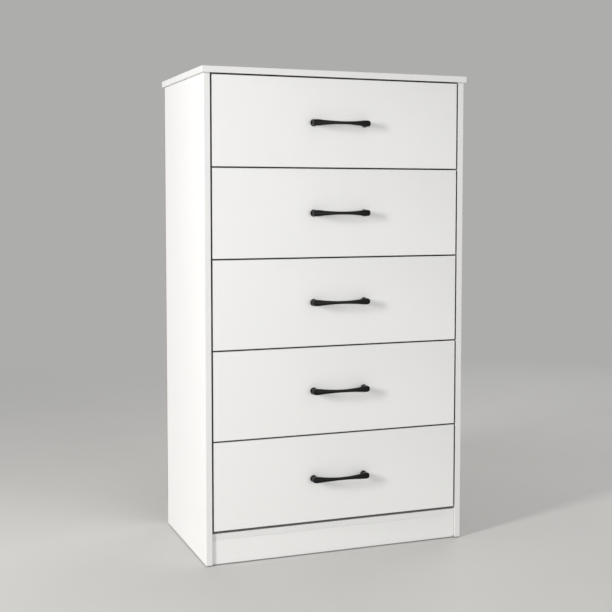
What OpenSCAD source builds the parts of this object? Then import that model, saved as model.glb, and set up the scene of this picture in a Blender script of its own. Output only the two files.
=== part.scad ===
// Tall chest of drawers: a flat-pack cabinet of coated board with inset drawers on steel runners.
// The origin is on the floor under the middle of the whole object, +Z is up and the drawers face -Y.

/* [Cabinet] */
// Overall height, floor to the upper face of the top panel
overall_h = 1200; // [1000:10:1440]
// Width of the top panel
overall_w = 700; // [560:10:840]
// Depth of the top panel, front to back
overall_d = 400; // [330:10:480]
// Thickness of the cabinet boards and the drawer fronts
board_t = 15; // [15:1:18]
// How far the top panel stands past each side panel
top_side_overhang = 6; // [0:1:20]
// How far the top panel stands past the front edges of the side panels
top_front_overhang = 5; // [0:1:20]
// How far the plinth and the bottom panel sit behind the front edges of the side panels
plinth_recess = 5; // [2:1:20]
// Height of the plinth board's upper edge above the floor
plinth_h = 62.5; // [50:0.5:100]
// Height of the rear rail under the top panel
rear_rail_h = 70; // [50:5:90]
// Thickness of the hardboard back
back_t = 3; // [2.5:0.5:4]
// How far the back sits in front of the top panel's rear edge
back_inset = 1.5; // [1.2:0.1:4]

/* [Drawer fronts] */
// Number of drawers, one above the other
drawer_count = 5; // [4:1:5]
// Gap between neighbouring fronts, and between the top front and the top panel
front_gap = 3.5; // [2:0.5:4]
// Gap between a front and each side panel
front_side_gap = 4.5; // [2:0.5:5]
// Gap between the lowest front and the bottom panel
front_bottom_gap = 7.5; // [3:0.5:10]

/* [Drawer boxes] */
// Height of the drawer box sides and back
box_h = 150; // [110:5:180]
// Height of the box's lower edge above the lower edge of its front
box_rise = 15; // [10:1:25]
// Thickness of the box sides and back
box_t = 12; // [12:1:15]
// Thickness of the drawer bottom
bottom_t = 3; // [2.5:0.5:4]
// Height of the bottom's groove above the lower edge of the box
groove_rise = 10; // [8:1:20]
// Depth of the bottom's groove
groove_depth = 6; // [4:0.5:7]

/* [Runners] */
// Space for a runner between the side panel and the drawer box
runner_space = 12.5; // [12.5:0.5:16]
// Height of the cabinet rail's channel
runner_h = 35; // [30:1:45]
// Height of the runner's middle above the lower edge of the front
runner_rise = 80; // [60:5:100]
// Sheet thickness of the rails
rail_t = 1.2; // [1:0.1:1.5]
// Shortest step in which runners are sold
runner_step = 50; // [25:25:50]

/* [Pulls] */
// Distance between the middles of a pull's two feet
pull_span = 135; // [96:1:160]
// How far the pull stands out from the drawer front
pull_reach = 30; // [24:1:36]
// Height of the pull's grip at its ends
pull_end_h = 15.5; // [13:0.5:18]
// Height of the pull's grip at its waist
pull_waist_h = 7.4; // [6:0.2:10]
// Thickness of the grip, front to back
pull_grip_t = 7.5; // [6:0.5:9]
// How far the grip's middle bows out past its ends
pull_bow = 7; // [3:0.5:9]
// Diameter of a foot's flange
pull_foot_d = 17; // [15:0.5:20]
// Thickness of a foot's flange
pull_foot_t = 2; // [1:0.5:4]
// Diameter of the post behind each end of the grip
pull_post_d = 13.5; // [11:0.5:15]

/* [Fittings] */
// Distance from a panel's front or rear edge to the nearest cam fitting
joint_inset = 55; // [45:5:70]
// Distance from a joint to the middle of its cam lock
cam_offset = 24; // [20:1:34]
// Diameter of a cam lock
cam_d = 14.8; // [12:0.1:15]
// Diameter of a cam bolt's shank
bolt_d = 6; // [5:0.5:6]
// Depth that a cam bolt screws into its board
bolt_depth = 11; // [8:1:12]
// Clearance between a fitting and the hole that it sits in, on the diameter
hole_fit = 0.2; // [0.1:0.1:0.4]
// Thread diameter of a pull screw
pull_screw_d = 4; // [3:0.5:5]
// Shank diameter of a wood screw
wood_screw_d = 3.5; // [3:0.5:4]
// Diameter of a floor glide
glide_d = 13; // [10:1:14]
// Height of a floor glide under its side panel
glide_h = 2; // [1:0.5:4]
// Diameter of the wall screw's hole in the wall bracket
wall_hole_d = 6; // [4:0.5:8]

/* [Hidden] */
$fn = 48;
drawers = [for (n = [1:drawer_count]) n];
cabinet_nodes = [
    "top_panel", "left_side_panel", "right_side_panel", "bottom_panel", "plinth_board", "rear_rail",
    "upper_back_panel", "lower_back_panel", "back_joining_strip", "cabinet_rails", "rail_screws",
    "cam_fittings", "back_nails", "floor_glides", "wall_bracket"
];
drawer_pieces = [
    "front", "left_side", "right_side", "back", "bottom", "pull", "rails", "screws", "cam_fittings"
];

LEFT = -1;
RIGHT = 1;
SIDES = [LEFT, RIGHT];
PAST = 1;      // how far a cutting shape runs past the face that it opens
SNUG = 0.1;    // clearance on each face of a board that sits in a groove or between two boards
RUNNING = 0.5; // clearance between runner parts that slide on each other

// Cabinet planes
case_d = overall_d - top_front_overhang - back_inset;
front_y = -(case_d + back_inset - pull_reach) / 2;
back_y = front_y + case_d;
side_rear_y = back_y - back_t;
case_half = overall_w / 2 - top_side_overhang;
inner_half = case_half - board_t;
side_top_z = overall_h - board_t;
bottom_panel_y = front_y + plinth_recess;
bottom_panel_top_z = plinth_h + board_t;
rail_front_y = side_rear_y - board_t;
back_split_z = (plinth_h + side_top_z) / 2;

// Drawer fronts
fronts_low_z = bottom_panel_top_z + front_bottom_gap;
fronts_high_z = side_top_z - front_gap;
front_h = (fronts_high_z - fronts_low_z - (drawer_count - 1) * front_gap) / drawer_count;
front_half = inner_half - front_side_gap;
front_rear_y = front_y + board_t;

// Drawer boxes and runners
rear_room = 10;
runner_l = runner_step * floor((rail_front_y - rear_room - front_rear_y) / runner_step);
box_half = inner_half - runner_space;
box_inner_half = box_half - box_t;
box_rear_y = front_rear_y + runner_l;
inner_rail_h = runner_h - 12;
rail_reach = 8.8;
glide_l = 24;
rail_screw_places = [0.14, 0.5, 0.9];
box_screw_places = [0.1, 0.8];
screw_head_d = 7;
screw_head_t = 1.6;
rail_screw_l = 12;
box_screw_l = 9;

// Fittings
cam_joint_gap = 3.5;
bolt_neck_d = 4.5;
bolt_head_l = 3;
pull_screw_bite = 12;
countersink_d = 8;
countersink_l = 3;
back_screw_l = 35;
back_screw_places = [0.25, 0.75];
nail_d = 1.6;
nail_l = 18;
nail_head_d = 4;
nail_head_t = 0.5;
nail_pitch = 140;
glide_pin_d = 2.5;
glide_pin_l = 12;
strip_w = 22;
strip_t = 1;
bracket_w = 70;
bracket_h = 30;
bracket_t = 2;
bracket_screw_spacing = 50;
bracket_screw_l = 11;

function drawer_z(n) = fronts_high_z - n * front_h - (n - 1) * front_gap;
function pull_z(n) = drawer_z(n) + front_h / 2;
function runner_z(n) = drawer_z(n) + runner_rise;
function along(places, start, length) = [for (share = places) start + share * length];

// ---------------------------------------------------------------- cam joints
// A cam joint is [place, face, bolt]: the point where the bolt crosses from the board with the cam lock
// into the other board, the way the cam lock's face looks, and the way the bolt points.
case_joint_ys = [front_y + joint_inset, side_rear_y - joint_inset];

function top_joints(side) =
    [for (y = case_joint_ys) [[side * (case_half - board_t / 2), y, side_top_z], [-side, 0, 0], [0, 0, 1]]];
function bottom_joints(side) =
    [for (y = case_joint_ys)
        [[side * inner_half, y, plinth_h + board_t / 2], [0, 0, -1], [side, 0, 0]]];
function plinth_joint(side) =
    [[side * inner_half, bottom_panel_y + board_t / 2, (plinth_h + glide_h) / 2], [0, 1, 0], [side, 0, 0]];
function rear_rail_joint(side) =
    [[side * inner_half, rail_front_y + board_t / 2, side_top_z - rear_rail_h / 2],
     [0, -1, 0], [side, 0, 0]];
function box_joints(n, side) =
    [for (share = back_screw_places)
        [[side * (box_half - box_t / 2), front_rear_y, drawer_z(n) + box_rise + share * box_h],
         [-side, 0, 0], [0, -1, 0]]];
function both(joints) = concat(joints[0], joints[1]);

all_top_joints = both([for (side = SIDES) top_joints(side)]);
all_bottom_joints = both([for (side = SIDES) bottom_joints(side)]);
all_plinth_joints = [for (side = SIDES) plinth_joint(side)];
all_rail_joints = [for (side = SIDES) rear_rail_joint(side)];

// Puts a shape drawn with its cam face towards +X and its bolt towards +Z onto one joint
module at_joint(joint) {
    x = joint[1];
    z = joint[2];
    y = cross(z, x);
    p = joint[0];
    multmatrix([
        [x[0], y[0], z[0], p[0]],
        [x[1], y[1], z[1], p[1]],
        [x[2], y[2], z[2], p[2]],
        [0, 0, 0, 1]
    ]) children();
}

// The holes in the board that carries the cam lock
module cam_holes(joint, thickness) {
    at_joint(joint) {
        translate([0, 0, -cam_offset]) cylinder(d = bolt_d + hole_fit, h = cam_offset + PAST);
        translate([-cam_joint_gap, 0, -cam_offset])
            rotate([0, 90, 0])
                cylinder(d = cam_d + hole_fit, h = cam_joint_gap + thickness / 2 + PAST);
    }
}

// The hole in the board that the bolt screws into
module bolt_hole(joint) {
    at_joint(joint)
        translate([0, 0, -PAST])
            cylinder(d = bolt_d + hole_fit, h = bolt_depth + PAST + SNUG);
}

module cam_bolt(joint) {
    at_joint(joint) {
        translate([0, 0, -cam_offset + bolt_head_l / 2])
            cylinder(d = bolt_neck_d, h = cam_offset - bolt_head_l / 2);
        translate([0, 0, -cam_offset - bolt_head_l / 2]) cylinder(d = bolt_d, h = bolt_head_l);
        cylinder(d = bolt_d, h = bolt_depth);
    }
}

module cam_lock(joint, thickness) {
    slot_w = 1.5;
    slot_l = 9;
    recess = 2;
    lock_h = cam_joint_gap + thickness / 2;
    at_joint(joint)
        translate([0, 0, -cam_offset])
            difference() {
                translate([-cam_joint_gap, 0, 0])
                    rotate([0, 90, 0]) cylinder(d = cam_d, h = lock_h - SNUG);
                translate([0, 0, -bolt_d]) cylinder(d = bolt_d + 1, h = cam_d);
                for (turn = [0, 90])
                    translate([lock_h - cam_joint_gap - recess, 0, 0])
                        rotate([turn, 0, 0])
                            translate([0, -slot_w / 2, -slot_l / 2])
                                cube([recess + PAST, slot_w, slot_l]);
            }
}

module cam_fitting(joint, thickness) {
    color("silver") {
        cam_bolt(joint);
        cam_lock(joint, thickness);
    }
}

// ------------------------------------------------------------ screws and nails
// A round shape that starts at a point and runs along one of the row axes
module along_x(point, way) {
    translate(point) rotate([0, way * 90, 0]) children();
}

module along_y(point, way) {
    translate(point) rotate([-way * 90, 0, 0]) children();
}

// A cross recess cut into a head whose face is at the origin, with the screw running up +Z
module cross_recess() {
    recess_l = 3.6;
    recess_w = 0.8;
    recess_depth = 1.1;
    for (turn = [0, 90])
        rotate([0, 0, turn])
            translate([-recess_l / 2, -recess_w / 2, -PAST])
                cube([recess_l, recess_w, recess_depth + PAST]);
}

// A pan-head screw whose head seat is at the origin and whose shank runs up +Z
module pan_screw(shank_d, length) {
    rim_t = screw_head_t / 2;
    face_r = screw_head_d / 2 - rim_t;
    color("silver")
        difference() {
            rotate_extrude()
                polygon([
                    [0, -screw_head_t], [face_r, -screw_head_t], [screw_head_d / 2, -rim_t],
                    [screw_head_d / 2, 0], [shank_d / 2, 0], [shank_d / 2, length - shank_d / 2],
                    [0, length]
                ]);
            translate([0, 0, -screw_head_t]) cross_recess();
        }
}

// A countersunk screw whose head is flush with the plane z = 0
module flush_screw(length) {
    color("silver")
        difference() {
            rotate_extrude()
                polygon([
                    [0, 0], [countersink_d / 2, 0], [wood_screw_d / 2, countersink_l],
                    [wood_screw_d / 2, length - countersink_l], [0, length]
                ]);
            cross_recess();
        }
}

module flush_screw_hole(length) {
    rotate_extrude()
        polygon([
            [0, -PAST], [countersink_d / 2 + hole_fit, -PAST], [countersink_d / 2 + hole_fit, 0],
            [(wood_screw_d + hole_fit) / 2, countersink_l + hole_fit],
            [(wood_screw_d + hole_fit) / 2, length + hole_fit], [0, length + hole_fit]
        ]);
}

// ------------------------------------------------------------------- cabinet
module board(low, high) {
    translate(low) cube(high - low);
}

module top_panel() {
    color("white")
        difference() {
            board([-overall_w / 2, front_y - top_front_overhang, side_top_z],
                  [overall_w / 2, back_y + back_inset, overall_h]);
            for (joint = all_top_joints) bolt_hole(joint);
        }
}

module side_panel(side) {
    outer = side * case_half;
    inner = side * inner_half;
    color("white")
        difference() {
            board([min(outer, inner), front_y, glide_h], [max(outer, inner), side_rear_y, side_top_z]);
            for (joint = top_joints(side)) cam_holes(joint, board_t);
            for (joint = bottom_joints(side)) bolt_hole(joint);
            bolt_hole(plinth_joint(side));
            bolt_hole(rear_rail_joint(side));
            for (n = drawers, y = along(rail_screw_places, front_rear_y, runner_l))
                along_x([inner - side * PAST, y, runner_z(n)], side)
                    cylinder(d = wood_screw_d + hole_fit, h = rail_screw_l + PAST);
            for (z = nail_zs)
                along_y([side * (case_half - board_t / 2), side_rear_y + PAST, z], -1)
                    cylinder(d = nail_d + hole_fit, h = nail_l - back_t + PAST + SNUG);
            for (y = case_joint_ys)
                translate([side * (case_half - board_t / 2), y, glide_h - PAST])
                    cylinder(d = glide_pin_d + hole_fit, h = glide_pin_l + PAST + SNUG);
        }
}

module bottom_panel() {
    color("white")
        difference() {
            board([-inner_half, bottom_panel_y, plinth_h], [inner_half, side_rear_y, bottom_panel_top_z]);
            for (joint = all_bottom_joints) cam_holes(joint, board_t);
            for (x = nail_xs)
                along_y([x, side_rear_y + PAST, plinth_h + board_t / 2], -1)
                    cylinder(d = nail_d + hole_fit, h = nail_l - back_t + PAST + SNUG);
        }
}

module plinth_board() {
    color("white")
        difference() {
            board([-inner_half, bottom_panel_y, glide_h], [inner_half, bottom_panel_y + board_t, plinth_h]);
            for (joint = all_plinth_joints) cam_holes(joint, board_t);
        }
}

module rear_rail() {
    color("white")
        difference() {
            board([-inner_half, rail_front_y, side_top_z - rear_rail_h],
                  [inner_half, side_rear_y, side_top_z]);
            for (joint = all_rail_joints) cam_holes(joint, board_t);
            for (x = nail_xs)
                along_y([x, side_rear_y + PAST, side_top_z - board_t / 2], -1)
                    cylinder(d = nail_d + hole_fit, h = nail_l - back_t + PAST + SNUG);
            along_y([0, rail_front_y - PAST, bracket_z], 1)
                cylinder(d = wall_hole_d, h = board_t + 2 * PAST);
            for (end = SIDES)
                along_y([end * bracket_screw_spacing / 2, rail_front_y - PAST, bracket_z], 1)
                    cylinder(d = wood_screw_d + hole_fit, h = bracket_screw_l + PAST);
        }
}

// The back: two boards nailed to the rear edges and held in line by a strip
nail_zs = [for (z = [plinth_h + board_t / 2 + nail_pitch / 2 : nail_pitch : side_top_z - nail_pitch / 4])
    if (abs(z - back_split_z) > strip_w) z];
nail_xs = [for (x = [-2 * nail_pitch : nail_pitch : 2 * nail_pitch]) if (abs(x) < inner_half - board_t) x];
bracket_z = side_top_z - rear_rail_h / 2 - bracket_h / 4;

module back_sheet(low_z, high_z) {
    color("white")
        difference() {
            board([-case_half, side_rear_y, low_z], [case_half, back_y, high_z]);
            for (side = SIDES, z = nail_zs)
                along_y([side * (case_half - board_t / 2), side_rear_y - PAST, z], 1)
                    cylinder(d = nail_d + hole_fit, h = back_t + 2 * PAST);
            for (x = nail_xs, z = [plinth_h + board_t / 2, side_top_z - board_t / 2])
                along_y([x, side_rear_y - PAST, z], 1)
                    cylinder(d = nail_d + hole_fit, h = back_t + 2 * PAST);
            along_y([0, side_rear_y - PAST, bracket_z], 1)
                cylinder(d = wall_hole_d, h = back_t + 2 * PAST);
        }
}

module upper_back_panel() {
    back_sheet(back_split_z + strip_t / 2, side_top_z);
}

module lower_back_panel() {
    back_sheet(plinth_h, back_split_z - strip_t / 2);
}

// An H section: a web between the two boards, with a flange on each face
module back_joining_strip() {
    half = inner_half - SNUG;
    color("white") {
        board([-half, side_rear_y, back_split_z - strip_t / 2], [half, back_y, back_split_z + strip_t / 2]);
        board([-half, side_rear_y - strip_t, back_split_z - strip_w / 2],
              [half, side_rear_y, back_split_z + strip_w / 2]);
        board([-half, back_y, back_split_z - strip_w / 2],
              [half, back_y + strip_t, back_split_z + strip_w / 2]);
    }
}

module nail() {
    color("silver") {
        cylinder(d = nail_d, h = nail_l);
        translate([0, 0, -nail_head_t]) cylinder(d = nail_head_d, h = nail_head_t);
    }
}

module back_nails() {
    for (side = SIDES, z = nail_zs) along_y([side * (case_half - board_t / 2), back_y, z], -1) nail();
    for (x = nail_xs, z = [plinth_h + board_t / 2, side_top_z - board_t / 2])
        along_y([x, back_y, z], -1) nail();
}

module floor_glides() {
    color("dimgray")
        for (side = SIDES, y = case_joint_ys)
            translate([side * (case_half - board_t / 2), y, 0]) {
                cylinder(d = glide_d, h = glide_h);
                cylinder(d = glide_pin_d, h = glide_h + glide_pin_l);
            }
}

module case_cam_fittings() {
    for (joint = concat(all_top_joints, all_bottom_joints, all_plinth_joints, all_rail_joints))
        cam_fitting(joint, board_t);
}

// A steel plate on the rear rail, bored for the screw that ties the cabinet to a wall
module wall_bracket() {
    color("silver") {
        difference() {
            board([-bracket_w / 2, rail_front_y - bracket_t, bracket_z - bracket_h / 2],
                  [bracket_w / 2, rail_front_y, bracket_z + bracket_h / 2]);
            along_y([0, rail_front_y - bracket_t - PAST, bracket_z], 1)
                cylinder(d = wall_hole_d, h = bracket_t + 2 * PAST);
            for (end = SIDES)
                along_y([end * bracket_screw_spacing / 2, rail_front_y - bracket_t - PAST, bracket_z], 1)
                    cylinder(d = wood_screw_d + hole_fit, h = bracket_t + 2 * PAST);
        }
    }
}

// ------------------------------------------------------------------- runners
// A channel that runs along Y, open towards +X, with its web's back at x = 0
module channel(height, reach, length) {
    translate([0, 0, -height / 2])
        difference() {
            cube([reach, length, height]);
            translate([rail_t, -PAST, rail_t]) cube([reach, length + 2 * PAST, height - 2 * rail_t]);
        }
}

// Puts a shape on one side of the cabinet: +X becomes the way from that side panel to the drawer box
module on_side(side, n) {
    translate([side * inner_half, front_rear_y, runner_z(n)]) mirror([side > 0 ? 1 : 0, 0, 0]) children();
}

module cabinet_rails() {
    glide_h_inside = inner_rail_h - 2 * rail_t - 2 * RUNNING;
    glide_reach = runner_space - 2 * rail_t - screw_head_t - RUNNING;
    for (n = drawers, side = SIDES)
        on_side(side, n) {
            color("silver")
                difference() {
                    channel(runner_h, rail_reach, runner_l);
                    for (y = along(rail_screw_places, 0, runner_l))
                        along_x([-PAST, y, 0], 1) cylinder(d = wood_screw_d + hole_fit, h = rail_t + 2 * PAST);
                }
            color("white")
                translate([rail_t, 0, -glide_h_inside / 2])
                    cube([glide_reach, glide_l, glide_h_inside]);
        }
}

module rail_screws() {
    for (n = drawers, side = SIDES, y = along(rail_screw_places, 0, runner_l))
        on_side(side, n) along_x([rail_t, y, 0], -1) pan_screw(wood_screw_d, rail_t + rail_screw_l - SNUG);
    for (end = SIDES)
        along_y([end * bracket_screw_spacing / 2, rail_front_y - bracket_t, bracket_z], 1)
            pan_screw(wood_screw_d, bracket_t + bracket_screw_l - SNUG);
}

// The drawer's rails: a smaller channel inside the cabinet's, with a nylon shoe at its rear end
module drawer_rails(n) {
    shoe_half = runner_h / 2 - rail_t - RUNNING;
    inner_reach = runner_space - rail_t - screw_head_t - 2 * RUNNING;
    for (side = SIDES)
        on_side(side, n) {
            color("silver")
                difference() {
                    translate([runner_space, 0, 0])
                        mirror([1, 0, 0]) channel(inner_rail_h, inner_reach, runner_l);
                    for (y = along(box_screw_places, 0, runner_l))
                        along_x([runner_space - rail_t - PAST, y, 0], 1)
                            cylinder(d = wood_screw_d + hole_fit, h = rail_t + 2 * PAST);
                }
            color("white")
                for (up = [0, 1])
                    mirror([0, 0, up])
                        translate([runner_space - inner_reach, runner_l - glide_l, inner_rail_h / 2])
                            cube([rail_reach - runner_space + inner_reach, glide_l,
                                  shoe_half - inner_rail_h / 2]);
        }
}

// ------------------------------------------------------------------- drawers
module drawer_front(n) {
    low = drawer_z(n);
    color("white")
        difference() {
            board([-front_half, front_y, low], [front_half, front_rear_y, low + front_h]);
            bottom_groove(n);
            for (side = SIDES, joint = box_joints(n, side)) bolt_hole(joint);
            for (end = SIDES)
                along_y([end * pull_span / 2, front_y - PAST, pull_z(n)], 1)
                    cylinder(d = pull_screw_d + 2 * hole_fit, h = board_t + 2 * PAST);
        }
}

// The slot that the bottom slides into, cut round the inside of the box and the rear face of the front
module bottom_groove(n) {
    low = drawer_z(n) + box_rise + groove_rise;
    half = box_inner_half + groove_depth;
    board([-half, front_rear_y - groove_depth, low],
          [half, box_rear_y - box_t + groove_depth, low + bottom_t + 2 * SNUG]);
}

module drawer_side(n, side) {
    low = drawer_z(n) + box_rise;
    outer = side * box_half;
    inner = side * box_inner_half;
    color("gainsboro")
        difference() {
            board([min(outer, inner), front_rear_y, low], [max(outer, inner), box_rear_y, low + box_h]);
            bottom_groove(n);
            for (joint = box_joints(n, side)) cam_holes(joint, box_t);
            for (share = back_screw_places)
                along_x([outer, box_rear_y - box_t / 2, low + share * box_h], -side)
                    flush_screw_hole(back_screw_l);
            for (y = along(box_screw_places, front_rear_y, runner_l))
                along_x([outer + side * PAST, y, runner_z(n)], -side)
                    cylinder(d = wood_screw_d + hole_fit, h = box_screw_l + PAST);
        }
}

module drawer_back(n) {
    low = drawer_z(n) + box_rise;
    color("gainsboro")
        difference() {
            board([-box_inner_half, box_rear_y - box_t, low], [box_inner_half, box_rear_y, low + box_h]);
            bottom_groove(n);
            for (side = SIDES, share = back_screw_places)
                along_x([side * box_half, box_rear_y - box_t / 2, low + share * box_h], -side)
                    flush_screw_hole(back_screw_l);
        }
}

module drawer_bottom(n) {
    low = drawer_z(n) + box_rise + groove_rise + SNUG;
    edge = groove_depth - 2 * SNUG;
    color("whitesmoke")
        board([-box_inner_half - edge, front_rear_y - edge, low],
              [box_inner_half + edge, box_rear_y - box_t + edge, low + bottom_t]);
}

module drawer_screws(n) {
    low = drawer_z(n) + box_rise;
    for (end = SIDES)
        along_y([end * pull_span / 2, front_rear_y, pull_z(n)], -1)
            pan_screw(pull_screw_d, board_t + pull_screw_bite);
    for (side = SIDES, share = back_screw_places)
        along_x([side * box_half, box_rear_y - box_t / 2, low + share * box_h], -side)
            flush_screw(back_screw_l);
    for (side = SIDES, y = along(box_screw_places, 0, runner_l))
        on_side(side, n)
            along_x([runner_space - rail_t, y, 0], 1) pan_screw(wood_screw_d, rail_t + box_screw_l - SNUG);
}

module drawer_cam_fittings(n) {
    for (side = SIDES, joint = box_joints(n, side)) cam_fitting(joint, box_t);
}

// --------------------------------------------------------------------- pulls
// Radius of the arc that rises by a height over half a chord
function arc_radius(half_chord, rise) = (half_chord * half_chord + rise * rise) / (2 * rise);

// The grip from the front: wide round ends and a waist cut by two long arcs
module grip_outline() {
    half = pull_span / 2;
    waist_cut = (pull_end_h - pull_waist_h) / 2;
    cut_r = arc_radius(half, waist_cut);
    difference() {
        union() {
            square([2 * half, pull_end_h], center = true);
            for (end = SIDES) translate([end * half, 0]) circle(d = pull_end_h);
        }
        for (up = SIDES)
            translate([0, up * (pull_waist_h / 2 + cut_r)])
                intersection() {
                    circle(r = cut_r, $fn = 180);
                    translate([-half, -up * cut_r - cut_r / 2]) square([2 * half, cut_r]);
                }
    }
}

// The grip from above: a band between two arcs that bows away from the drawer, drawn in x and outwards
module grip_band() {
    half = (pull_span + pull_end_h) / 2;
    outer_r = arc_radius(half, pull_bow);
    intersection() {
        translate([0, pull_reach - outer_r])
            difference() {
                circle(r = outer_r, $fn = 180);
                circle(r = outer_r - pull_grip_t, $fn = 180);
            }
        translate([-half, 0]) square([2 * half, pull_reach]);
    }
}

module drawer_pull(n) {
    post_l = pull_reach - pull_bow - pull_grip_t / 2;
    color("#1c1c1e")
        translate([0, front_y, pull_z(n)])
            difference() {
                union() {
                    intersection() {
                        translate([0, 0, -pull_end_h]) mirror([0, 1, 0])
                            linear_extrude(height = 2 * pull_end_h) grip_band();
                        rotate([90, 0, 0]) linear_extrude(height = pull_reach + PAST) grip_outline();
                    }
                    for (end = SIDES)
                        along_y([end * pull_span / 2, 0, 0], -1) {
                            cylinder(d = pull_post_d, h = post_l);
                            cylinder(d = pull_foot_d, h = pull_foot_t);
                        }
                }
                for (end = SIDES)
                    along_y([end * pull_span / 2, PAST, 0], -1)
                        cylinder(d = pull_screw_d + hole_fit, h = pull_screw_bite + PAST + SNUG);
            }
}

top_panel();
side_panel(LEFT);  // left_side_panel
side_panel(RIGHT);  // right_side_panel
bottom_panel();
plinth_board();
rear_rail();
upper_back_panel();
lower_back_panel();
back_joining_strip();
cabinet_rails();
rail_screws();
case_cam_fittings();  // cam_fittings
back_nails();
floor_glides();
wall_bracket();
for (n = drawers) {
    drawer_front(n);
    drawer_side(n, LEFT);
    drawer_side(n, RIGHT);
    drawer_back(n);
    drawer_bottom(n);
    drawer_pull(n);
    drawer_rails(n);
    drawer_screws(n);
    drawer_cam_fittings(n);
}
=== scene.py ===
"""Tall white chest of drawers: five inset slab drawers on steel runners, with black waisted pulls.

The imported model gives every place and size. Boards, pulls, runners and the rest are built round it as
finished pieces, each riding on the body that carries it.
"""
import logging
import math
from collections.abc import Iterable, Sequence
from dataclasses import dataclass, field
from enum import Enum

import bmesh
import bpy
from mathutils import Matrix, Vector


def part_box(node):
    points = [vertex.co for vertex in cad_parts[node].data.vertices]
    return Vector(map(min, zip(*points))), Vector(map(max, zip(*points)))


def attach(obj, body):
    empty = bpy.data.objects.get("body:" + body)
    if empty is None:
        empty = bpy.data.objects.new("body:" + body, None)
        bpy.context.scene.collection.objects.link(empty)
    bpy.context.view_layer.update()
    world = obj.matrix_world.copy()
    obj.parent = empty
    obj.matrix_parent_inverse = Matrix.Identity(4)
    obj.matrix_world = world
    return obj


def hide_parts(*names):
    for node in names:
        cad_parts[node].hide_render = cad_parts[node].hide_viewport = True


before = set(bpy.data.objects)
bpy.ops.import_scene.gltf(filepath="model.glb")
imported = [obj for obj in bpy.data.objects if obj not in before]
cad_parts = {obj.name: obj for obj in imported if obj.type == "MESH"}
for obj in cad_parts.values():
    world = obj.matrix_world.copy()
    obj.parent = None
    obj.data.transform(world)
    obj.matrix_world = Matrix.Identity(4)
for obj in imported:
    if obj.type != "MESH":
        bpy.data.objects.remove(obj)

log = logging.getLogger("chest")

MM = 0.001
CABINET = "cabinet"
DRAWERS = range(1, 6)

Box = tuple[Vector, Vector]


class Face(Enum):
    """The six faces of a board: the axis each looks along, and which way."""

    LEFT = (0, -1)
    RIGHT = (0, 1)
    FRONT = (1, -1)
    REAR = (1, 1)
    UNDER = (2, -1)
    UPPER = (2, 1)

    @property
    def normal(self) -> Vector:
        """The way the face looks."""
        axis, way = self.value
        return Vector([way if i == axis else 0 for i in range(3)])


SIDE_FACES = (Face.LEFT, Face.RIGHT, Face.FRONT, Face.REAR)


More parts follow.
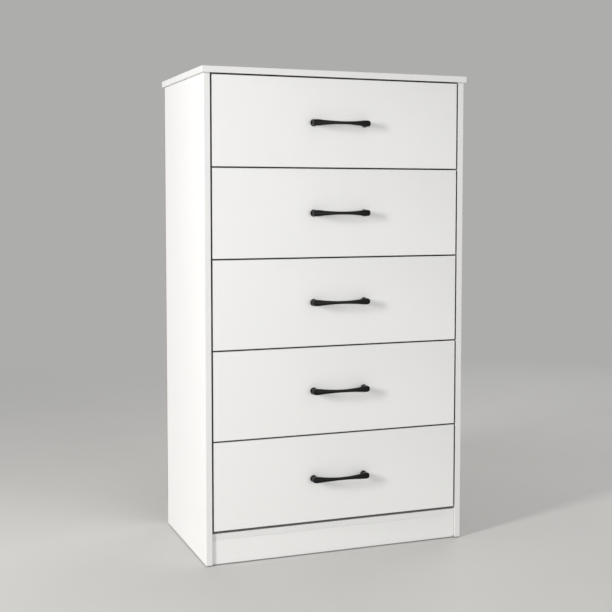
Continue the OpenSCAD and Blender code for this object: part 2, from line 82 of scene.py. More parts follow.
# ------------------------------------------------------------------ materials
class NodeSheet:
    """A material's node tree, with short ways to add nodes and join them."""

    def __init__(self, name: str) -> None:
        """Start an empty material.

        Args:
            name: the material's name.
        """
        self.material = bpy.data.materials.new(name)
        self.material.use_nodes = True
        self.tree = self.material.node_tree
        self.shader = self.tree.nodes["Principled BSDF"]
        self.place = self.add("ShaderNodeTexCoord").outputs["Object"]

    def add(self, kind: str, **settings: object) -> bpy.types.Node:
        """Add a node.

        Args:
            kind: the node's type name.
            settings: properties by name, or input values by their socket's name with spaces as _.

        Returns:
            The new node.
        """
        node = self.tree.nodes.new(kind)
        for name, value in settings.items():
            if hasattr(node, name):
                setattr(node, name, value)
            else:
                node.inputs[name.replace("_", " ")].default_value = value
        return node

    def join(self, source: bpy.types.NodeSocket, target: bpy.types.NodeSocket) -> None:
        """Link one socket to another."""
        self.tree.links.new(source, target)

    def noise(self, scale: float, detail: float = 2.0, stretch: Sequence[float] = (1, 1, 1),
              roughness: float = 0.5) -> bpy.types.NodeSocket:
        """Fractal noise over the piece.

        Args:
            scale: how many waves lie in a metre.
            detail: how many finer layers it has.
            stretch: the pattern's scale along X, Y and Z, for grain that runs one way.
            roughness: how strong the finer layers are.

        Returns:
            The socket that gives the value, about 0.5 on average.
        """
        mapping = self.add("ShaderNodeMapping", Scale=tuple(stretch))
        self.join(self.place, mapping.inputs["Vector"])
        noise = self.add("ShaderNodeTexNoise", Scale=scale, Detail=detail, Roughness=roughness)
        self.join(mapping.outputs["Vector"], noise.inputs["Vector"])
        return noise.outputs["Fac"]

    def cells(self, scale: float, stretch: Sequence[float] = (1, 1, 1)) -> bpy.types.NodeSocket:
        """Random cells, as the chips of a board or the grains of a powder coat.

        Args:
            scale: how many cells lie along a metre.
            stretch: the pattern's scale along X, Y and Z.

        Returns:
            The socket that gives each cell's colour.
        """
        mapping = self.add("ShaderNodeMapping", Scale=tuple(stretch))
        self.join(self.place, mapping.inputs["Vector"])
        cells = self.add("ShaderNodeTexVoronoi", Scale=scale)
        self.join(mapping.outputs["Vector"], cells.inputs["Vector"])
        return cells.outputs["Color"]

    def spread(self, value: bpy.types.NodeSocket, low: float, high: float,
               start: float = 0.3, end: float = 0.7) -> bpy.types.NodeSocket:
        """Map a value from start..end to low..high.

        Args:
            value: the socket to map.
            low: the result at start.
            high: the result at end.
            start: where the range begins.
            end: where the range ends.

        Returns:
            The mapped value's socket.
        """
        node = self.add("ShaderNodeMapRange")
        for name, number in (("From Min", start), ("From Max", end), ("To Min", low), ("To Max", high)):
            node.inputs[name].default_value = number
        self.join(value, node.inputs["Value"])
        return node.outputs["Result"]

    def blend(self, factor: bpy.types.NodeSocket, first: Sequence[float] | bpy.types.NodeSocket,
              second: Sequence[float]) -> bpy.types.NodeSocket:
        """Mix two colours.

        Args:
            factor: 0 gives the first and 1 the second.
            first: a colour or a colour's socket.
            second: a colour.

        Returns:
            The mixed colour's socket.
        """
        node = self.add("ShaderNodeMix", data_type="RGBA")
        self.join(factor, node.inputs["Factor"])
        if isinstance(first, bpy.types.NodeSocket):
            self.join(first, node.inputs["A"])
        else:
            node.inputs[6].default_value = (*first, 1.0)
        node.inputs[7].default_value = (*second, 1.0)
        return node.outputs[2]

    def edge_wear_and_highlight(self, start: float = 0.53, end: float = 0.62) -> bpy.types.NodeSocket:
        """How exposed a point is: 0 on flats and 1 on outer corners. Edges lightened with it are partly
        real wear and partly a painted highlight.
        """
        return self.spread(self.add("ShaderNodeNewGeometry").outputs["Pointiness"], 0, 1, start, end)

    def painted_gap_shade(self, colour: bpy.types.NodeSocket, share: float = 0.2,
                  reach: float = 10 * MM) -> bpy.types.NodeSocket:
        """Paint shade into a colour deep inside narrow gaps and corners, where light hardly comes.

        Args:
            colour: the colour in the open.
            share: how much of it is left in the narrowest places.
            reach: how near another surface has to be.

        Returns:
            The colour's socket.
        """
        # Ambient occlusion darkens the colour here: painted shade in gaps and corners.
        open_share = self.add("ShaderNodeAmbientOcclusion", samples=6, Distance=reach)
        kept = self.spread(open_share.outputs["AO"], share, 1, 0.12, 0.72)
        node = self.add("ShaderNodeMix", data_type="RGBA", blend_type="MULTIPLY")
        node.inputs["Factor"].default_value = 1.0
        self.join(colour, node.inputs[6])
        self.join(kept, node.inputs[7])
        return node.outputs[2]

    def bump(self, height: bpy.types.NodeSocket, depth: float, strength: float = 1.0,
             under: bpy.types.NodeSocket | None = None) -> bpy.types.NodeSocket:
        """Raise the surface.

        Args:
            height: the relief, from 0 to 1.
            depth: the relief's full height in metres.
            strength: how much of it shows.
            under: another bump's normal, which this one adds to.

        Returns:
            The normal's socket.
        """
        node = self.add("ShaderNodeBump", Strength=strength, Distance=depth)
        self.join(height, node.inputs["Height"])
        if under is not None:
            self.join(under, node.inputs["Normal"])
        return node.outputs["Normal"]

    def set(self, **values: object) -> None:
        """Set or join the shader's own inputs, by name with spaces as _."""
        for name, value in values.items():
            socket = self.shader.inputs[name.replace("_", " ")]
            if isinstance(value, bpy.types.NodeSocket):
                self.join(value, socket)
            else:
                socket.default_value = value


@dataclass(frozen=True)
class Finish:
    """One finish. Each kind builds its own material, once.

    Attributes:
        name: the material's name.
        slot: the record's material slot that it stands for.
        colour: its base colour, linear.
        gloss: its middle roughness.
    """

    name: str
    slot: str
    colour: tuple[float, float, float]
    gloss: float

    def material(self) -> bpy.types.Material:
        """The finish's material, made the first time it is asked for."""
        return bpy.data.materials.get(self.name) or self.paint(NodeSheet(self.name))

    def tinted(self, share: float) -> tuple[float, float, float]:
        """The base colour, lighter or darker by a share."""
        return tuple(min(c * share, 1.0) for c in self.colour)

    def paint(self, sheet: NodeSheet) -> bpy.types.Material:
        """Build the node tree. Each kind of finish has its own."""
        raise NotImplementedError


@dataclass(frozen=True)
class Melamine(Finish):
    """Printed paper under clear resin: even, faintly pearled and softly glossy, with edges lightened
    partly by rubbing and partly as a painted highlight, and painted shade deep in narrow gaps.
    """

    pearl: float = 650.0

    def paint(self, sheet: NodeSheet) -> bpy.types.Material:
        """Build the node tree."""
        drift = sheet.spread(sheet.noise(2.6, 3), 0, 1)
        toned = sheet.blend(drift, self.tinted(0.985), self.colour)
        # Outer edges lightened: partly wear, partly a painted highlight.
        edge_lightened = sheet.blend(sheet.edge_wear_and_highlight(), toned, self.tinted(1.06))
        hair = sheet.noise(90, 4, stretch=(1, 1, 0.12))
        pearl = sheet.bump(sheet.noise(self.pearl, 2), 0.00004, 0.35)
        wave = sheet.bump(sheet.noise(14, 2), 0.0004, 0.18, under=pearl)
        # Painted shade: the colour darkens deep in narrow gaps and corners.
        sheet.set(Base_Color=sheet.painted_gap_shade(edge_lightened), Normal=wave, IOR=1.5,
                  Roughness=sheet.spread(hair, self.gloss - 0.05, self.gloss + 0.05))
        return sheet.material


@dataclass(frozen=True)
class EdgeBand(Finish):
    """Thin plastic band ironed onto a board's edge: a touch brighter, with fine scrape lines, edges
    lightened partly by rubbing and partly as a painted highlight, and painted shade deep in narrow gaps.
    """

    def paint(self, sheet: NodeSheet) -> bpy.types.Material:
        """Build the node tree."""
        drift = sheet.spread(sheet.noise(9, 3), 0, 1)
        toned = sheet.blend(drift, self.tinted(0.97), self.colour)
        # Outer edges lightened: partly wear, partly a painted highlight.
        edge_lightened = sheet.blend(sheet.edge_wear_and_highlight(), toned, self.tinted(1.03))
        scrape = sheet.bump(sheet.noise(420, 2, stretch=(0.08, 0.08, 0.08)), 0.00005, 0.3)
        fine = sheet.bump(sheet.noise(1400, 1), 0.00002, 0.4, under=scrape)
        # Painted shade: the colour darkens deep in narrow gaps and corners.
        sheet.set(Base_Color=sheet.painted_gap_shade(edge_lightened), Normal=fine,
                  Roughness=sheet.spread(sheet.noise(60, 3), self.gloss - 0.06, self.gloss + 0.06))
        return sheet.material


@dataclass(frozen=True)
class Foil(Finish):
    """Embossed white foil round the drawer box boards, with a faint grain along Y."""

    def paint(self, sheet: NodeSheet) -> bpy.types.Material:
        """Build the node tree."""
        grain = sheet.noise(260, 5, stretch=(1, 0.035, 1), roughness=0.65)
        toned = sheet.blend(sheet.spread(grain, 0, 1, 0.35, 0.65), self.colour, self.tinted(0.93))
        edge_lightened = sheet.blend(sheet.edge_wear_and_highlight(), toned, self.tinted(1.05))
        pores = sheet.bump(grain, 0.00008, 0.5)
        sheet.set(Base_Color=edge_lightened, Roughness=sheet.spread(grain, self.gloss - 0.08, self.gloss + 0.08),
                  Normal=pores)
        return sheet.material


@dataclass(frozen=True)
class Chipboard(Finish):
    """The bare core of a board, where no band covers it: pressed chips of two browns."""

    chip: float = 700.0

    def paint(self, sheet: NodeSheet) -> bpy.types.Material:
        """Build the node tree."""
        chips = sheet.cells(self.chip, (1, 1, 1.8))
        split = sheet.add("ShaderNodeSeparateColor")
        sheet.join(chips, split.inputs["Color"])
        toned = sheet.blend(split.outputs["Red"], self.tinted(0.6), self.tinted(1.2))
        sheet.set(Base_Color=toned, Roughness=self.gloss, Specular_IOR_Level=0.2,
                  Normal=sheet.bump(split.outputs["Green"], 0.0004, 0.8))
        return sheet.material


@dataclass(frozen=True)
class Hardboard(Finish):
    """Pressed brown fibre, as on the bare side of a back panel: fibres and the press's wire mesh."""

    mesh: float = 520.0

    def paint(self, sheet: NodeSheet) -> bpy.types.Material:
        """Build the node tree."""
        fibre = sheet.noise(240, 6, roughness=0.7)
        blotch = sheet.noise(7, 3)
        toned = sheet.blend(sheet.spread(fibre, 0, 1, 0.3, 0.7), self.tinted(0.78), self.tinted(1.15))
        aged = sheet.blend(sheet.spread(blotch, 0, 0.35), toned, self.tinted(0.9))
        wires = [sheet.add("ShaderNodeTexWave", bands_direction=way, Scale=self.mesh / 20, Distortion=0.6)
                 for way in ("X", "Z")]
        for wire in wires:
            sheet.join(sheet.place, wire.inputs["Vector"])
        weave = sheet.add("ShaderNodeMath", operation="MULTIPLY")
        for wire, socket in zip(wires, weave.inputs):
            sheet.join(wire.outputs["Fac"], socket)
        mesh = sheet.bump(weave.outputs["Value"], 0.0002, 0.35)
        sheet.set(Base_Color=aged, Roughness=self.gloss, Specular_IOR_Level=0.25,
                  Normal=sheet.bump(fibre, 0.00015, 0.5, under=mesh))
        return sheet.material


@dataclass(frozen=True)
class Lacquer(Finish):
    """A thin white coat rolled on hardboard: fibres show through it faintly."""

    def paint(self, sheet: NodeSheet) -> bpy.types.Material:
        """Build the node tree."""
        fibre = sheet.noise(300, 5, roughness=0.65)
        toned = sheet.blend(sheet.spread(fibre, 0, 1, 0.3, 0.7), self.tinted(0.96), self.colour)
        sheet.set(Base_Color=toned, Roughness=sheet.spread(fibre, self.gloss - 0.07, self.gloss + 0.07),
                  Normal=sheet.bump(fibre, 0.00006, 0.5))
        return sheet.material


@dataclass(frozen=True)
class PowderCoat(Finish):
    """Baked black powder: a fine even orange peel, satin, with edges smoothed and lightened partly by
    rubbing and partly as a painted highlight.
    """

    grain: float = 1500.0

    def paint(self, sheet: NodeSheet) -> bpy.types.Material:
        """Build the node tree."""
        peel = sheet.noise(self.grain, 3, roughness=0.6)
        # Mask for the lightened edges: partly rubbing wear, partly a painted highlight.
        worn_and_highlit = sheet.edge_wear_and_highlight(0.52, 0.64)
        toned = sheet.blend(sheet.spread(peel, 0, 1), self.colour, self.tinted(1.35))
        edge_lightened = sheet.blend(worn_and_highlit, toned, self.tinted(2.2))
        uneven = sheet.spread(sheet.noise(110, 3), self.gloss - 0.06, self.gloss + 0.08)
        sheet.set(Base_Color=edge_lightened, Roughness=uneven, Specular_IOR_Level=0.19,
                  Normal=sheet.bump(peel, 0.00006, 0.45))
        return sheet.material


@dataclass(frozen=True)
class Zinc(Finish):
    """Zinc-plated steel: rolling lines, cloudy patches and edges made bright by rubbing.

    Attributes:
        lines: the rolling lines' scale along X, Y and Z.
    """

    lines: tuple[float, float, float] = (1.0, 0.03, 1.0)

    def paint(self, sheet: NodeSheet) -> bpy.types.Material:
        """Build the node tree."""
        rolled = sheet.noise(700, 3, stretch=self.lines)
        cloud = sheet.noise(55, 4)
        toned = sheet.blend(sheet.spread(cloud, 0, 1), self.tinted(0.82), self.tinted(1.08))
        edge_lightened = sheet.blend(sheet.edge_wear_and_highlight(), toned, self.tinted(1.25))
        dull = sheet.spread(cloud, self.gloss - 0.08, self.gloss + 0.1)
        sheet.set(Base_Color=edge_lightened, Metallic=1.0, Roughness=dull,
                  Normal=sheet.bump(rolled, 0.00003, 0.5))
        return sheet.material


@dataclass(frozen=True)
class CastZinc(Finish):
    """Die-cast zinc as it comes from the mould: grey, grained and barely shiny."""

    def paint(self, sheet: NodeSheet) -> bpy.types.Material:
        """Build the node tree."""
        grain = sheet.noise(1100, 4, roughness=0.7)
        toned = sheet.blend(sheet.spread(grain, 0, 1), self.tinted(0.75), self.tinted(1.1))
        sheet.set(Base_Color=toned, Metallic=0.9,
                  Roughness=sheet.spread(grain, self.gloss - 0.1, self.gloss + 0.1),
                  Normal=sheet.bump(grain, 0.00006, 0.6))
        return sheet.material


@dataclass(frozen=True)
class Plastic(Finish):
    """Moulded plastic with a fine spark-eroded grain.

    Attributes:
        glow: how much light goes into the surface, as in nylon.
    """

    glow: float = 0.0

    def paint(self, sheet: NodeSheet) -> bpy.types.Material:
        """Build the node tree."""
        grain = sheet.noise(2200, 2)
        toned = sheet.blend(sheet.spread(sheet.noise(40, 3), 0, 1), self.tinted(0.96), self.colour)
        sheet.set(Base_Color=toned, Roughness=sheet.spread(grain, self.gloss - 0.05, self.gloss + 0.05),
                  Subsurface_Weight=self.glow, Subsurface_Scale=0.002,
                  Normal=sheet.bump(grain, 0.00003, 0.5))
        return sheet.material


WHITE_BOARD = Melamine("white_melamine", "white_board", (0.80, 0.80, 0.795), 0.42)
WHITE_BAND = EdgeBand("white_edge_band", "white_board", (0.795, 0.795, 0.79), 0.36)
BOX_FOIL = Foil("box_foil", "box_board", (0.76, 0.76, 0.745), 0.45)
BARE_CORE = Chipboard("bare_chipboard", "white_board", (0.42, 0.30, 0.18), 0.85)
BARE_HARDBOARD = Hardboard("bare_hardboard", "white_hardboard", (0.27, 0.165, 0.085), 0.62)
WHITE_HARDBOARD = Lacquer("lacquered_hardboard", "box_hardboard", (0.74, 0.74, 0.72), 0.4)
BLACK_COAT = PowderCoat("black_powder_coat", "black_metal", (0.004, 0.004, 0.004), 0.34)
ROLLED_ZINC = Zinc("rolled_zinc_strip", "zinc_steel", (0.56, 0.57, 0.58), 0.34)
SCREW_ZINC = Zinc("zinc_screw", "zinc_screw", (0.55, 0.56, 0.58), 0.28, lines=(1.0, 1.0, 1.0))
CAST_ZINC = CastZinc("cast_zinc", "zinc_casting", (0.45, 0.45, 0.44), 0.5)
NYLON = Plastic("white_nylon", "zinc_steel", (0.78, 0.78, 0.74), 0.38, glow=0.2)
STRIP_PLASTIC = Plastic("white_strip_plastic", "white_plastic", (0.74, 0.74, 0.73), 0.4)
GLIDE_PLASTIC = Plastic("grey_glide_plastic", "grey_plastic", (0.08, 0.08, 0.085), 0.5)


# --------------------------------------------------------------------- meshes
class Shape:
    """A mesh being made, in metres in the row frame. Each call adds to it."""

    def __init__(self, *finishes: Finish) -> None:
        """Start an empty shape.

        Args:
            finishes: its finishes, in the order of its material indices.
        """
        self.mesh = bmesh.new()
        self.finishes = finishes

    def block(self, low: Vector, high: Vector, soften: float = 0.0, segments: int = 2,
              finish: int = 0) -> list[bmesh.types.BMFace]:
        """Add a box with eased edges.

        Args:
            low: its lowest corner.
            high: its highest corner.
            soften: the radius of its edges.
            segments: how many facets round each edge.
            finish: its material index.

        Returns:
            Its faces.
        """
        size, centre = high - low, (high + low) / 2
        place = Matrix.Translation(centre) @ Matrix.Diagonal((*size, 1.0))
        before = set(self.mesh.faces)
        made = bmesh.ops.create_cube(self.mesh, size=1.0, matrix=place)
        if soften > 0:
            edges = {edge for vert in made["verts"] for edge in vert.link_edges}
            bmesh.ops.bevel(self.mesh, geom=list(edges), offset=soften, offset_type="OFFSET",
                            affect="EDGES", segments=segments, profile=0.5, clamp_overlap=True,
                            material=-1)
            self.frame_flats([face for face in self.mesh.faces if face not in before])
        faces = [face for face in self.mesh.faces if face not in before]
        for face in faces:
            face.material_index = finish
        return faces

    def frame_flats(self, faces: Iterable[bmesh.types.BMFace], rim: float = 1.6 * MM) -> None:
        """Give each large flat face a narrow rim, so that edge wear and painted edge highlights can be
        told from the open surface.
        """
        for face in faces:
            shortest = min(edge.calc_length() for edge in face.edges)
            if len(face.verts) == 4 and shortest > 4 * rim:
                bmesh.ops.inset_individual(self.mesh, faces=[face], thickness=rim,
                                           use_even_offset=True)

    def disc(self, centre: Vector, way: Vector, radius: float, depth: float, soften: float = 0.0,
             segments: int = 32, finish: int = 0) -> None:
        """Add a round plate with an eased front rim.

        Args:
            centre: the middle of its seat.
            way: the way it stands out from the seat.
            radius: its radius.
            depth: how far it stands out.
            soften: the radius of its front rim.
            segments: how many sides it has.
            finish: its material index.
        """
        before = set(self.mesh.faces)
        turn = way.to_track_quat("Z", "Y").to_matrix().to_4x4()
        place = Matrix.Translation(centre + way * depth / 2) @ turn
        made = bmesh.ops.create_cone(self.mesh, cap_ends=True, segments=segments, radius1=radius,
                                     radius2=radius, depth=depth, matrix=place)
        if soften > 0:
            front = centre + way * depth
            rim = {edge for vert in made["verts"] for edge in vert.link_edges
                   if all(abs((v.co - front).dot(way)) < depth * 0.01 for v in edge.verts)}
            bmesh.ops.bevel(self.mesh, geom=list(rim), offset=soften, offset_type="OFFSET",
                            affect="EDGES", segments=3, profile=0.5, clamp_overlap=True, material=-1)
        for face in self.mesh.faces:
            if face not in before:
                face.material_index = finish
                face.smooth = True

    def loft(self, rings: Sequence[Matrix], ring_points: int, squareness: float, close: bool) -> None:
        """Sweep a rounded section through a row of places.

        Args:
            rings: where the unit section goes: its columns are the section's two half-axes.
            ring_points: how many points the section has.
            squareness: 2 for an ellipse, more for a squarer section.
            close: whether the last ring is capped.
        """
        made = bmesh.ops.create_circle(self.mesh, segments=ring_points, radius=1.0, cap_ends=False)
        for vert in made["verts"]:
            reach = sum(abs(c) ** squareness for c in vert.co.xy) ** (1 / squareness)
            vert.co /= reach
        ring = list({edge for vert in made["verts"] for edge in vert.link_edges})
        bmesh.ops.transform(self.mesh, matrix=rings[0], verts=made["verts"])
        for last, place in zip(rings, rings[1:]):
            grown = bmesh.ops.extrude_edge_only(self.mesh, edges=ring)["geom"]
            verts = [item for item in grown if isinstance(item, bmesh.types.BMVert)]
            ring = [item for item in grown if isinstance(item, bmesh.types.BMEdge)]
            bmesh.ops.transform(self.mesh, matrix=place @ last.inverted(), verts=verts)
        if close:
            bmesh.ops.contextual_create(self.mesh, geom=ring)

    def mirror_x(self, plane_x: float) -> None:
        """Copy everything across a plane and weld the seam, with the faces turned outwards again."""
        place = Matrix.Translation((plane_x, 0, 0))
        geom = [*self.mesh.verts, *self.mesh.edges, *self.mesh.faces]
        bmesh.ops.mirror(self.mesh, geom=geom, matrix=place.inverted(), merge_dist=MM / 100, axis="X")
        bmesh.ops.remove_doubles(self.mesh, verts=self.mesh.verts, dist=MM / 100)
        bmesh.ops.recalc_face_normals(self.mesh, faces=self.mesh.faces)

    def piece(self, name: str, body: str, replaced: Iterable[str] = (), slot: str | None = None,
              smooth_under: float = 0.0) -> bpy.types.Object:
        """Turn the shape into a piece that rides on a body.

        Args:
            name: the piece's name.
            body: the body that carries it.
            replaced: the nodes that it stands for.
            slot: the record's material slot, or None for its first finish's; not used.
            smooth_under: angle in degrees below which neighbouring faces shade as one, or 0.

        Returns:
            The object.
        """
        data = bpy.data.meshes.new(name)
        self.mesh.to_mesh(data)
        self.mesh.free()
        for finish in self.finishes:
            data.materials.append(finish.material())
        if smooth_under > 0:
            data.shade_smooth()
            data.set_sharp_from_angle(angle=math.radians(smooth_under))
        piece = bpy.data.objects.new(name, data)
        bpy.context.scene.collection.objects.link(piece)
        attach(piece, body)
        if replaced:
            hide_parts(*replaced)
        return piece


def cut(piece: bpy.types.Object, cutter: Shape) -> None:
    """Cut one shape out of a finished piece.

    Args:
        piece: the object that is cut.
        cutter: the shape that is taken away, which is used up.
    """
    data = bpy.data.meshes.new("cutter")
    cutter.mesh.to_mesh(data)
    cutter.mesh.free()
    tool = bpy.data.objects.new("cutter", data)
    bpy.context.scene.collection.objects.link(tool)
    boolean = piece.modifiers.new("cut", "BOOLEAN")
    boolean.operation, boolean.solver, boolean.object = "DIFFERENCE", "EXACT", tool
    graph = bpy.context.evaluated_depsgraph_get()
    made = bpy.data.meshes.new_from_object(piece.evaluated_get(graph))
    piece.modifiers.remove(boolean)
    old, piece.data = piece.data, made
    name = old.name
    bpy.data.meshes.remove(old)
    made.name = name
    bpy.data.objects.remove(tool)
    bpy.data.meshes.remove(data)


def solids_of(node: str) -> list[Box]:
    """The box of each separate solid in a CAD node.

    Args:
        node: the node's name.

    Returns:
        A lowest and a highest corner for each solid.
    """
    mesh = bmesh.new()
    mesh.from_mesh(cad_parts[node].data)
    bmesh.ops.remove_doubles(mesh, verts=mesh.verts, dist=MM / 200)
    left, boxes = set(mesh.verts), []
    while left:
        open_verts = [left.pop()]
        found = list(open_verts)
        while open_verts:
            for edge in open_verts.pop().link_edges:
                for vert in edge.verts:
                    if vert in left:
                        left.remove(vert)
                        open_verts.append(vert)
                        found.append(vert)
        boxes.append((Vector([min(v.co[i] for v in found) for i in range(3)]),
                      Vector([max(v.co[i] for v in found) for i in range(3)])))
    mesh.free()
    return sorted(boxes, key=lambda box: tuple(round(c, 5) for c in (*box[0], *box[1])))


def node_box(node: str) -> Box:
    """The box of a CAD node as two vectors."""
    low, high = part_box(node)
    return Vector(low), Vector(high)


# --------------------------------------------------------------------- boards
@dataclass
class Board:
    """A coated board: a core between two faces, with bands on some edges and bare core on others.

    Attributes:
        node: the CAD node that it stands for, which gives its size and name.
        body: the body that carries it.
        banded: the edges that carry a band, in the order they were put on.
        bare: the edges that show the core.
        surface: the finish of its faces.
        band: the finish of its bands.
        band_t: a band's thickness.
        ease: the radius of a band's outer edges.
        bores: round holes, each as (middle of its mouth, way in, radius, depth).
    """

    node: str
    body: str
    banded: tuple[Face, ...] = ()
    bare: tuple[Face, ...] = ()
    surface: Finish = WHITE_BOARD
    band: Finish = WHITE_BAND
    band_t: float = 0.8 * MM
    ease: float = 0.45 * MM
    core_ease: float = 0.12 * MM
    bores: list[tuple[Vector, Vector, float, float]] = field(default_factory=list)

    def build(self) -> bpy.types.Object:
        """Make the board.

        Returns:
            The board's object.
        """
        low, high = node_box(self.node)
        shape = Shape(self.surface, self.band, BARE_CORE)
        for face in self.banded:
            axis, way = face.value
            band_low, band_high = low.copy(), high.copy()
            if way > 0:
                band_low[axis] = high[axis] = high[axis] - self.band_t
            else:
                band_high[axis] = low[axis] = low[axis] + self.band_t
            shape.block(band_low, band_high, min(self.ease, self.band_t * 0.49), 3, finish=1)
        for face in shape.block(low, high, self.core_ease, 1):
            if any(face.normal.dot(edge.normal) > 0.99 for edge in self.bare):
                face.material_index = 2
        piece = shape.piece(self.node + "_board", self.body, [self.node], self.surface.slot)
        for mouth, way, radius, depth in self.bores:
            bore = Shape()
            bore.disc(mouth - way * MM, way, radius, depth + MM)
            cut(piece, bore)
        return piece


@dataclass
class Cabinet:
    """The fixed carcass: top, sides, bottom, plinth, rail, back and what holds them together."""

    cam_hole: float = 7.5 * MM
    cam_depth: float = 11.05 * MM
    sheet_ease: float = 0.35 * MM
    cams: list[Box] = field(default_factory=lambda: [
        box for box in solids_of("cam_fittings") if min(box[1] - box[0]) > 10 * MM])

    def build(self) -> None:
        """Make every fixed board and sheet, then dress the fittings."""
        Board("top_panel", CABINET, banded=(Face.FRONT, Face.REAR, Face.LEFT, Face.RIGHT)).build()
        for side, inward in (("left", Face.RIGHT), ("right", Face.LEFT)):
            node = f"{side}_side_panel"
            Board(node, CABINET, banded=(Face.FRONT, Face.REAR), bare=(Face.UNDER, Face.UPPER),
                  bores=self.cam_bores(node, inward)).build()
        Board("bottom_panel", CABINET, banded=(Face.FRONT,), bare=(Face.REAR, Face.LEFT, Face.RIGHT),
              bores=self.cam_bores("bottom_panel", Face.UNDER)).build()
        Board("plinth_board", CABINET, banded=(Face.UPPER, Face.UNDER), bare=(Face.LEFT, Face.RIGHT),
              bores=self.cam_bores("plinth_board", Face.REAR)).build()
        self.rear_rail()
        for node in ("upper_back_panel", "lower_back_panel"):
            self.back_sheet(node)
        self.joining_strip()
        self.floor_glides()

    def cam_bores(self, node: str, face: Face) -> list[tuple[Vector, Vector, float, float]]:
        """The holes for the cam locks that open on one face of a board."""
        low, high = node_box(node)
        axis, way = face.value
        plane = high[axis] if way > 0 else low[axis]
        bores = []
        for cam_low, cam_high in self.cams:
            centre = (cam_low + cam_high) / 2
            inside = all(low[i] <= centre[i] <= high[i] for i in range(3))
            thin = min(range(3), key=lambda i: cam_high[i] - cam_low[i])
            if inside and thin == axis:
                mouth = centre.copy()
                mouth[axis] = plane
                bores.append((mouth, -face.normal, self.cam_hole, self.cam_depth))
        return bores

    def rear_rail(self) -> None:
        """The rail across the back under the top, drilled for the wall screw."""
        low, high = node_box("rear_rail")
        bracket_low, bracket_high = node_box("wall_bracket")
        middle = (bracket_low + bracket_high) / 2
        hole = (Vector((middle.x, low.y, middle.z)), Vector((0, 1, 0)), 3.5 * MM, high.y - low.y + MM)
        Board("rear_rail", CABINET, banded=(Face.UNDER,), bare=(Face.LEFT, Face.RIGHT, Face.UPPER),
              bores=[*self.cam_bores("rear_rail", Face.FRONT), hole]).build()

    def back_sheet(self, node: str) -> None:
        """One half of the back: hardboard that is white inside and bare outside."""
        low, high = node_box(node)
        shape = Shape(BARE_HARDBOARD, WHITE_HARDBOARD)
        for face in shape.block(low, high, self.sheet_ease, 2):
            if face.normal.y < -0.99:
                face.material_index = 1
        piece = shape.piece(f"{node}_sheet", CABINET, [node])
        bracket_low, bracket_high = node_box("wall_bracket")
        middle = (bracket_low + bracket_high) / 2
        if low.z < middle.z < high.z:
            bore = Shape()
            bore.disc(Vector((middle.x, low.y - MM, middle.z)), Vector((0, 1, 0)), 3.5 * MM, 5 * MM)
            cut(piece, bore)

    def joining_strip(self) -> None:
        """The H strip between the back sheets: a web and two flanges with eased, slightly lifted lips."""
        low, high = node_box("back_joining_strip")
        inner, outer = low.y + MM, high.y - MM
        middle = (low.z + high.z) / 2
        web = 0.5 * MM
        lip = 1.2 * MM
        shape = Shape(STRIP_PLASTIC)
        shape.block(Vector((low.x, inner, middle - web)), Vector((high.x, outer, middle + web)))
        for front, rear in ((low.y, inner), (outer, high.y)):
            shape.block(Vector((low.x, front, low.z + lip)), Vector((high.x, rear, high.z - lip)),
                        0.25 * MM, 3)
            for edge_low, edge_high in ((low.z, low.z + 2 * lip), (high.z - 2 * lip, high.z)):
                shape.block(Vector((low.x, front, edge_low)), Vector((high.x, rear, edge_high)),
                            0.49 * MM, 4)
        shape.piece("back_joining_strip_moulding", CABINET, ["back_joining_strip"])

    def floor_glides(self) -> None:
        """The nail-on glides: a shallow dished pad and its pin."""
        shape = Shape(GLIDE_PLASTIC, SCREW_ZINC)
        panel_low, _ = node_box("left_side_panel")
        for low, high in solids_of("floor_glides"):
            middle = (low + high) / 2
            radius = (high.x - low.x) / 2
            seat = Vector((middle.x, middle.y, panel_low.z))
            shape.disc(seat, Vector((0, 0, -1)), radius, panel_low.z - low.z, 0.7 * MM)
            shape.disc(seat, Vector((0, 0, 1)), 1.25 * MM, 10 * MM, segments=10, finish=1)
        shape.piece("floor_glide_pads", CABINET, ["floor_glides"], smooth_under=40)


